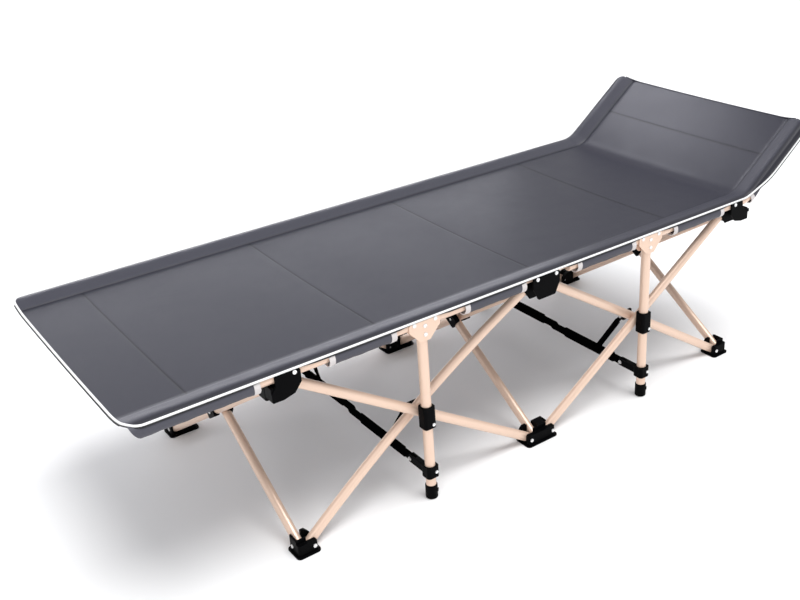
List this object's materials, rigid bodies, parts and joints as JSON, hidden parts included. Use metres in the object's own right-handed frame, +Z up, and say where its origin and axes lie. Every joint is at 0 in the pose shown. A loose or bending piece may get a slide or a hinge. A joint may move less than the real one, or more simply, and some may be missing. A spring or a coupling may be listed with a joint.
{
  "type": "folding cot",
  "caption": "Low folding bed with a coated fabric sheet on tube rails, a raised head end and crossed tube legs that scissor together into an upright bundle.",
  "frame": {"origin": "floor level under the middle of the bounding box", "axes": "+X toward the raised head end, +Y toward the far side in the picture, +Z up"},
  "size_m": [1.8417, 0.6856, 0.6013],
  "materials": {
    "sheet": "coated woven, low sheen",
    "tube": "satin champagne",
    "bar": "satin black",
    "moulding": "fine grain"
  },
  "bodies": {
    "foot_tail_near": {"floor_foot_tail_near": "moulding"},
    "joint_tail_near": {"rail_joint_tail_near": "moulding"},
    "foot_tail_far": {"floor_foot_tail_far": "moulding"},
    "joint_tail_far": {"rail_joint_tail_far": "moulding"},
    "cross_tail_a": {"cross_tube_tail_a": "tube"},
    "cross_tail_b": {"cross_tube_tail_b": "tube"},
    "foot_mid_near": {"floor_foot_mid_near": "moulding"},
    "joint_mid_near": {"rail_joint_mid_near": "moulding"},
    "foot_mid_far": {"floor_foot_mid_far": "moulding"},
    "joint_mid_far": {"rail_joint_mid_far": "moulding"},
    "cross_mid_a": {"cross_tube_mid_a": "tube"},
    "cross_mid_b": {"cross_tube_mid_b": "tube"},
    "foot_head_near": {"floor_foot_head_near": "moulding"},
    "joint_head_near": {"rail_joint_head_near": "moulding"},
    "foot_head_far": {"floor_foot_head_far": "moulding"},
    "joint_head_far": {"rail_joint_head_far": "moulding"},
    "cross_head_a": {"cross_tube_head_a": "tube"},
    "cross_head_b": {"cross_tube_head_b": "tube"},
    "side_tail_near_outer": {"side_tube_tail_near_outer": "tube"},
    "side_tail_near_inner": {"side_tube_tail_near_inner": "tube"},
    "collar_tail_near": {"collar_tail_near": "moulding"},
    "leg_tail_near": {"leg_tail_near": "tube", "leg_fittings_tail_near": "moulding"},
    "spreader_tail_near": {"spreader_tail_near": "bar"},
    "strut_tail_near": {"strut_tail_near": "bar"},
    "side_head_near_outer": {"side_tube_head_near_outer": "tube"},
    "side_head_near_inner": {"side_tube_head_near_inner": "tube"},
    "collar_head_near": {"collar_head_near": "moulding"},
    "leg_head_near": {"leg_head_near": "tube", "leg_fittings_head_near": "moulding"},
    "spreader_head_near": {"spreader_head_near": "bar"},
    "strut_head_near": {"strut_head_near": "bar"},
    "rail_tail_near": {"rail_tail_near": "tube", "deck_tail": "sheet"},
    "rail_midtail_near": {"rail_midtail_near": "tube", "deck_midtail": "sheet"},
    "rail_midhead_near": {"rail_midhead_near": "tube", "deck_midhead": "sheet"},
    "rail_head_near": {"rail_head_near": "tube", "deck_head": "sheet"},
    "side_tail_far_outer": {"side_tube_tail_far_outer": "tube"},
    "side_tail_far_inner": {"side_tube_tail_far_inner": "tube"},
    "collar_tail_far": {"collar_tail_far": "moulding"},
    "leg_tail_far": {"leg_tail_far": "tube", "leg_fittings_tail_far": "moulding"},
    "spreader_tail_far": {"spreader_tail_far": "bar"},
    "strut_tail_far": {"strut_tail_far": "bar"},
    "side_head_far_outer": {"side_tube_head_far_outer": "tube"},
    "side_head_far_inner": {"side_tube_head_far_inner": "tube"},
    "collar_head_far": {"collar_head_far": "moulding"},
    "leg_head_far": {"leg_head_far": "tube", "leg_fittings_head_far": "moulding"},
    "spreader_head_far": {"spreader_head_far": "bar"},
    "strut_head_far": {"strut_head_far": "bar"},
    "rail_tail_far": {"rail_tail_far": "tube"},
    "rail_midtail_far": {"rail_midtail_far": "tube"},
    "rail_midhead_far": {"rail_midhead_far": "tube"},
    "rail_head_far": {"rail_head_far": "tube"}
  },
  "joints": [
    {"name": "fold", "type": "hinge", "parent": "foot_mid_near", "child": "cross_mid_a", "pos_m": [0.01907, -0.294, 0.016], "axis": [1, 0, 0], "range_deg": [0, 50.02], "deforming": ["deck_tail", "deck_midtail", "deck_midhead", "deck_head"]},
    {"name": "joint_mid_far_turn", "type": "hinge", "parent": "cross_mid_a", "child": "joint_mid_far", "pos_m": [0.01907, 0.294, 0.402], "axis": [-1, 0, 0], "range_deg": [0, 50.02]},
    {"name": "cross_mid_scissor", "type": "hinge", "parent": "cross_mid_a", "child": "cross_mid_b", "pos_m": [0.02907, 0, 0.209], "axis": [-1, 0, 0], "range_deg": [0, 100.05]},
    {"name": "foot_mid_far_turn", "type": "hinge", "parent": "cross_mid_b", "child": "foot_mid_far", "pos_m": [0.03907, 0.294, 0.016], "axis": [1, 0, 0], "range_deg": [0, 50.02]},
    {"name": "joint_mid_near_turn", "type": "hinge", "parent": "cross_mid_b", "child": "joint_mid_near", "pos_m": [0.03907, -0.294, 0.402], "axis": [1, 0, 0], "range_deg": [0, 50.02]},
    {"name": "side_tail_near_outer_turn", "type": "hinge", "parent": "foot_mid_near", "child": "side_tail_near_outer", "pos_m": [-0.00393, -0.3, 0.016], "axis": [0, 1, 0], "range_deg": [0, 50.02]},
    {"name": "joint_tail_near_turn", "type": "hinge", "parent": "side_tail_near_outer", "child": "joint_tail_near", "pos_m": [-0.59193, -0.3, 0.402], "axis": [0, -1, 0], "range_deg": [0, 50.02]},
    {"name": "side_tail_near_inner_turn", "type": "hinge", "parent": "joint_mid_near", "child": "side_tail_near_inner", "pos_m": [-0.00393, -0.3, 0.402], "axis": [0, -1, 0], "range_deg": [0, 50.02]},
    {"name": "foot_tail_near_turn", "type": "hinge", "parent": "side_tail_near_inner", "child": "foot_tail_near", "pos_m": [-0.59193, -0.3, 0.016], "axis": [0, 1, 0], "range_deg": [0, 50.02]},
    {"name": "collar_tail_near_turn", "type": "hinge", "parent": "side_tail_near_outer", "child": "collar_tail_near", "pos_m": [-0.29793, -0.3, 0.209], "axis": [0, -1, 0], "range_deg": [0, 50.02]},
    {"name": "leg_tail_near_slide", "type": "slide", "parent": "collar_tail_near", "child": "leg_tail_near", "axis": [0, 0, -1], "range_m": [0, 0.11691]},
    {"name": "rail_tail_near_turn", "type": "hinge", "parent": "leg_tail_near", "child": "rail_tail_near", "pos_m": [-0.32393, -0.325, 0.44], "axis": [0, 1, 0], "range_deg": [0, 85.61]},
    {"name": "rail_midtail_near_turn", "type": "hinge", "parent": "leg_tail_near", "child": "rail_midtail_near", "pos_m": [-0.27193, -0.325, 0.44], "axis": [0, -1, 0], "range_deg": [0, 85.61]},
    {"name": "spreader_tail_near_turn", "type": "hinge", "parent": "leg_tail_near", "child": "spreader_tail_near", "pos_m": [-0.29793, -0.261, 0.07], "axis": [1, 0, 0], "range_deg": [0, 88.25]},
    {"name": "strut_tail_near_turn", "type": "hinge", "parent": "collar_tail_near", "child": "strut_tail_near", "pos_m": [-0.29793, -0.262, 0.204], "axis": [-1, 0, 0], "range_deg": [0, 32.67]},
    {"name": "side_head_near_outer_turn", "type": "hinge", "parent": "foot_mid_near", "child": "side_head_near_outer", "pos_m": [0.06207, -0.3, 0.016], "axis": [0, -1, 0], "range_deg": [0, 50.02]},
    {"name": "joint_head_near_turn", "type": "hinge", "parent": "side_head_near_outer", "child": "joint_head_near", "pos_m": [0.65007, -0.3, 0.402], "axis": [0, 1, 0], "range_deg": [0, 50.02]},
    {"name": "side_head_near_inner_turn", "type": "hinge", "parent": "joint_mid_near", "child": "side_head_near_inner", "pos_m": [0.06207, -0.3, 0.402], "axis": [0, 1, 0], "range_deg": [0, 50.02]},
    {"name": "foot_head_near_turn", "type": "hinge", "parent": "side_head_near_inner", "child": "foot_head_near", "pos_m": [0.65007, -0.3, 0.016], "axis": [0, -1, 0], "range_deg": [0, 50.02]},
    {"name": "collar_head_near_turn", "type": "hinge", "parent": "side_head_near_outer", "child": "collar_head_near", "pos_m": [0.35607, -0.3, 0.209], "axis": [0, 1, 0], "range_deg": [0, 50.02]},
    {"name": "leg_head_near_slide", "type": "slide", "parent": "collar_head_near", "child": "leg_head_near", "axis": [0, 0, -1], "range_m": [0, 0.11691]},
    {"name": "rail_head_near_turn", "type": "hinge", "parent": "leg_head_near", "child": "rail_head_near", "pos_m": [0.38207, -0.325, 0.44], "axis": [0, -1, 0], "range_deg": [0, 85.61]},
    {"name": "rail_midhead_near_turn", "type": "hinge", "parent": "leg_head_near", "child": "rail_midhead_near", "pos_m": [0.33007, -0.325, 0.44], "axis": [0, 1, 0], "range_deg": [0, 85.61]},
    {"name": "spreader_head_near_turn", "type": "hinge", "parent": "leg_head_near", "child": "spreader_head_near", "pos_m": [0.35607, -0.261, 0.07], "axis": [1, 0, 0], "range_deg": [0, 88.25]},
    {"name": "strut_head_near_turn", "type": "hinge", "parent": "collar_head_near", "child": "strut_head_near", "pos_m": [0.35607, -0.262, 0.204], "axis": [-1, 0, 0], "range_deg": [0, 32.67]},
    {"name": "side_tail_far_outer_turn", "type": "hinge", "parent": "foot_mid_far", "child": "side_tail_far_outer", "pos_m": [-0.00393, 0.3, 0.016], "axis": [0, 1, 0], "range_deg": [0, 50.02]},
    {"name": "joint_tail_far_turn", "type": "hinge", "parent": "side_tail_far_outer", "child": "joint_tail_far", "pos_m": [-0.59193, 0.3, 0.402], "axis": [0, -1, 0], "range_deg": [0, 50.02]},
    {"name": "side_tail_far_inner_turn", "type": "hinge", "parent": "joint_mid_far", "child": "side_tail_far_inner", "pos_m": [-0.00393, 0.3, 0.402], "axis": [0, -1, 0], "range_deg": [0, 50.02]},
    {"name": "foot_tail_far_turn", "type": "hinge", "parent": "side_tail_far_inner", "child": "foot_tail_far", "pos_m": [-0.59193, 0.3, 0.016], "axis": [0, 1, 0], "range_deg": [0, 50.02]},
    {"name": "collar_tail_far_turn", "type": "hinge", "parent": "side_tail_far_outer", "child": "collar_tail_far", "pos_m": [-0.29793, 0.3, 0.209], "axis": [0, -1, 0], "range_deg": [0, 50.02]},
    {"name": "leg_tail_far_slide", "type": "slide", "parent": "collar_tail_far", "child": "leg_tail_far", "axis": [0, 0, -1], "range_m": [0, 0.11691]},
    {"name": "rail_tail_far_turn", "type": "hinge", "parent": "leg_tail_far", "child": "rail_tail_far", "pos_m": [-0.32393, 0.325, 0.44], "axis": [0, 1, 0], "range_deg": [0, 85.61]},
    {"name": "rail_midtail_far_turn", "type": "hinge", "parent": "leg_tail_far", "child": "rail_midtail_far", "pos_m": [-0.27193, 0.325, 0.44], "axis": [0, -1, 0], "range_deg": [0, 85.61]},
    {"name": "spreader_tail_far_turn", "type": "hinge", "parent": "leg_tail_far", "child": "spreader_tail_far", "pos_m": [-0.29793, 0.261, 0.07], "axis": [-1, 0, 0], "range_deg": [0, 88.25]},
    {"name": "strut_tail_far_turn", "type": "hinge", "parent": "collar_tail_far", "child": "strut_tail_far", "pos_m": [-0.29793, 0.262, 0.204], "axis": [1, 0, 0], "range_deg": [0, 32.67]},
    {"name": "side_head_far_outer_turn", "type": "hinge", "parent": "foot_mid_far", "child": "side_head_far_outer", "pos_m": [0.06207, 0.3, 0.016], "axis": [0, -1, 0], "range_deg": [0, 50.02]},
    {"name": "joint_head_far_turn", "type": "hinge", "parent": "side_head_far_outer", "child": "joint_head_far", "pos_m": [0.65007, 0.3, 0.402], "axis": [0, 1, 0], "range_deg": [0, 50.02]},
    {"name": "side_head_far_inner_turn", "type": "hinge", "parent": "joint_mid_far", "child": "side_head_far_inner", "pos_m": [0.06207, 0.3, 0.402], "axis": [0, 1, 0], "range_deg": [0, 50.02]},
    {"name": "foot_head_far_turn", "type": "hinge", "parent": "side_head_far_inner", "child": "foot_head_far", "pos_m": [0.65007, 0.3, 0.016], "axis": [0, -1, 0], "range_deg": [0, 50.02]},
    {"name": "collar_head_far_turn", "type": "hinge", "parent": "side_head_far_outer", "child": "collar_head_far", "pos_m": [0.35607, 0.3, 0.209], "axis": [0, 1, 0], "range_deg": [0, 50.02]},
    {"name": "leg_head_far_slide", "type": "slide", "parent": "collar_head_far", "child": "leg_head_far", "axis": [0, 0, -1], "range_m": [0, 0.11691]},
    {"name": "rail_head_far_turn", "type": "hinge", "parent": "leg_head_far", "child": "rail_head_far", "pos_m": [0.38207, 0.325, 0.44], "axis": [0, -1, 0], "range_deg": [0, 85.61]},
    {"name": "rail_midhead_far_turn", "type": "hinge", "parent": "leg_head_far", "child": "rail_midhead_far", "pos_m": [0.33007, 0.325, 0.44], "axis": [0, 1, 0], "range_deg": [0, 85.61]},
    {"name": "spreader_head_far_turn", "type": "hinge", "parent": "leg_head_far", "child": "spreader_head_far", "pos_m": [0.35607, 0.261, 0.07], "axis": [-1, 0, 0], "range_deg": [0, 88.25]},
    {"name": "strut_head_far_turn", "type": "hinge", "parent": "collar_head_far", "child": "strut_head_far", "pos_m": [0.35607, 0.262, 0.204], "axis": [1, 0, 0], "range_deg": [0, 32.67]},
    {"name": "cross_tail_a_turn", "type": "hinge", "parent": "foot_tail_near", "child": "cross_tail_a", "pos_m": [-0.61493, -0.294, 0.016], "axis": [1, 0, 0], "range_deg": [0, 50.02]},
    {"name": "cross_tail_b_turn", "type": "hinge", "parent": "foot_tail_far", "child": "cross_tail_b", "pos_m": [-0.63493, 0.294, 0.016], "axis": [-1, 0, 0], "range_deg": [0, 50.02]},
    {"name": "cross_head_a_turn", "type": "hinge", "parent": "foot_head_near", "child": "cross_head_a", "pos_m": [0.67307, -0.294, 0.016], "axis": [1, 0, 0], "range_deg": [0, 50.02]},
    {"name": "cross_head_b_turn", "type": "hinge", "parent": "foot_head_far", "child": "cross_head_b", "pos_m": [0.69307, 0.294, 0.016], "axis": [-1, 0, 0], "range_deg": [0, 50.02]}
  ],
  "couplings": [
    {"joint": "joint_mid_far_turn", "follows": "fold", "ratio": 1},
    {"joint": "cross_mid_scissor", "follows": "fold", "ratio": 2},
    {"joint": "foot_mid_far_turn", "follows": "fold", "ratio": 1},
    {"joint": "joint_mid_near_turn", "follows": "fold", "ratio": 1},
    {"joint": "side_tail_near_outer_turn", "follows": "fold", "ratio": 1},
    {"joint": "joint_tail_near_turn", "follows": "fold", "ratio": 1},
    {"joint": "side_tail_near_inner_turn", "follows": "fold", "ratio": 1},
    {"joint": "foot_tail_near_turn", "follows": "fold", "ratio": 1},
    {"joint": "collar_tail_near_turn", "follows": "fold", "ratio": 1},
    {"joint": "leg_tail_near_slide", "follows": "fold", "m_per_rad": 0.1339},
    {"joint": "rail_tail_near_turn", "follows": "fold", "ratio": 1.7113},
    {"joint": "rail_midtail_near_turn", "follows": "fold", "ratio": 1.7113},
    {"joint": "spreader_tail_near_turn", "follows": "fold", "ratio": 1.7641},
    {"joint": "strut_tail_near_turn", "follows": "fold", "ratio": 0.65309},
    {"joint": "side_head_near_outer_turn", "follows": "fold", "ratio": 1},
    {"joint": "joint_head_near_turn", "follows": "fold", "ratio": 1},
    {"joint": "side_head_near_inner_turn", "follows": "fold", "ratio": 1},
    {"joint": "foot_head_near_turn", "follows": "fold", "ratio": 1},
    {"joint": "collar_head_near_turn", "follows": "fold", "ratio": 1},
    {"joint": "leg_head_near_slide", "follows": "fold", "m_per_rad": 0.1339},
    {"joint": "rail_head_near_turn", "follows": "fold", "ratio": 1.7113},
    {"joint": "rail_midhead_near_turn", "follows": "fold", "ratio": 1.7113},
    {"joint": "spreader_head_near_turn", "follows": "fold", "ratio": 1.7641},
    {"joint": "strut_head_near_turn", "follows": "fold", "ratio": 0.65309},
    {"joint": "side_tail_far_outer_turn", "follows": "fold", "ratio": 1},
    {"joint": "joint_tail_far_turn", "follows": "fold", "ratio": 1},
    {"joint": "side_tail_far_inner_turn", "follows": "fold", "ratio": 1},
    {"joint": "foot_tail_far_turn", "follows": "fold", "ratio": 1},
    {"joint": "collar_tail_far_turn", "follows": "fold", "ratio": 1},
    {"joint": "leg_tail_far_slide", "follows": "fold", "m_per_rad": 0.1339},
    {"joint": "rail_tail_far_turn", "follows": "fold", "ratio": 1.7113},
    {"joint": "rail_midtail_far_turn", "follows": "fold", "ratio": 1.7113},
    {"joint": "spreader_tail_far_turn", "follows": "fold", "ratio": 1.7641},
    {"joint": "strut_tail_far_turn", "follows": "fold", "ratio": 0.65309},
    {"joint": "side_head_far_outer_turn", "follows": "fold", "ratio": 1},
    {"joint": "joint_head_far_turn", "follows": "fold", "ratio": 1},
    {"joint": "side_head_far_inner_turn", "follows": "fold", "ratio": 1},
    {"joint": "foot_head_far_turn", "follows": "fold", "ratio": 1},
    {"joint": "collar_head_far_turn", "follows": "fold", "ratio": 1},
    {"joint": "leg_head_far_slide", "follows": "fold", "m_per_rad": 0.1339},
    {"joint": "rail_head_far_turn", "follows": "fold", "ratio": 1.7113},
    {"joint": "rail_midhead_far_turn", "follows": "fold", "ratio": 1.7113},
    {"joint": "spreader_head_far_turn", "follows": "fold", "ratio": 1.7641},
    {"joint": "strut_head_far_turn", "follows": "fold", "ratio": 0.65309},
    {"joint": "cross_tail_a_turn", "follows": "fold", "ratio": 1},
    {"joint": "cross_tail_b_turn", "follows": "fold", "ratio": 1},
    {"joint": "cross_head_a_turn", "follows": "fold", "ratio": 1},
    {"joint": "cross_head_b_turn", "follows": "fold", "ratio": 1}
  ]
}
